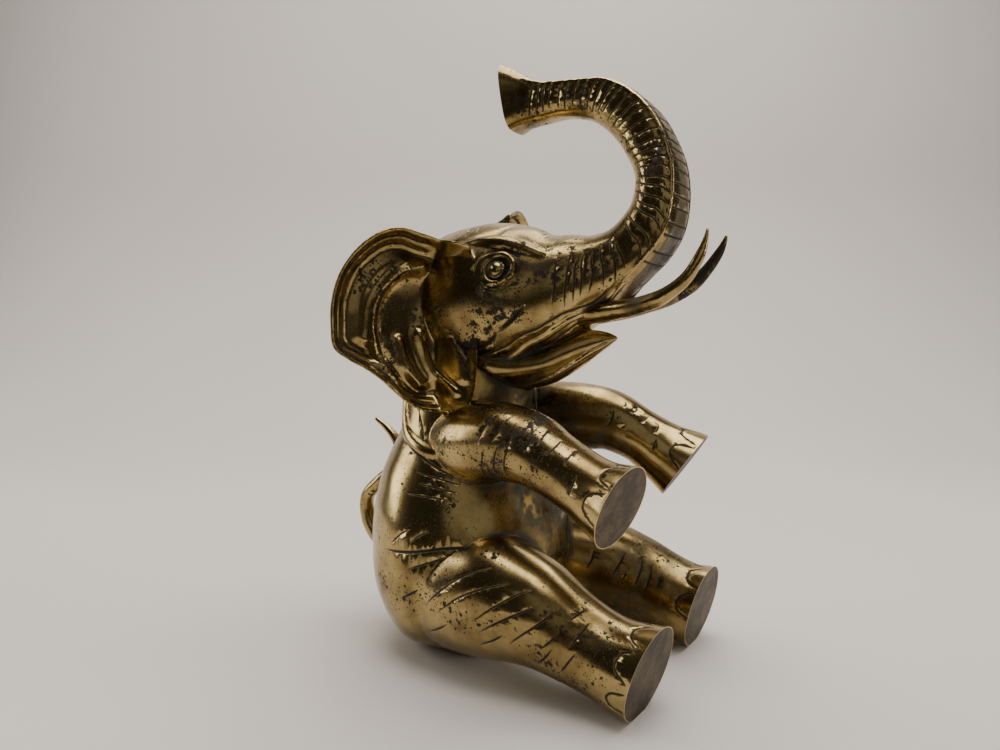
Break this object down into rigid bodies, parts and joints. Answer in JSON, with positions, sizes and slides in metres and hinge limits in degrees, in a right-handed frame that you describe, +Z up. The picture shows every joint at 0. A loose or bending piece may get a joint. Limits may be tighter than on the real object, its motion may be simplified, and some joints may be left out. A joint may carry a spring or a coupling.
{
  "type": "sitting elephant figurine",
  "caption": "Cast brass figurine of an elephant that sits upright on its rump, front legs held out and trunk raised back over its head.",
  "frame": {"origin": "on the surface that the figurine sits on, under its rump and on its middle plane", "axes": "+Z up, the elephant faces -Y, and its right side is towards -X"},
  "size_m": [0.1833, 0.2438, 0.3525],
  "materials": {
    "brass": "polished, with dark tarnish in spots and in the carving"
  },
  "bodies": {
    "root": {"elephant": "brass"}
  },
  "joints": []
}
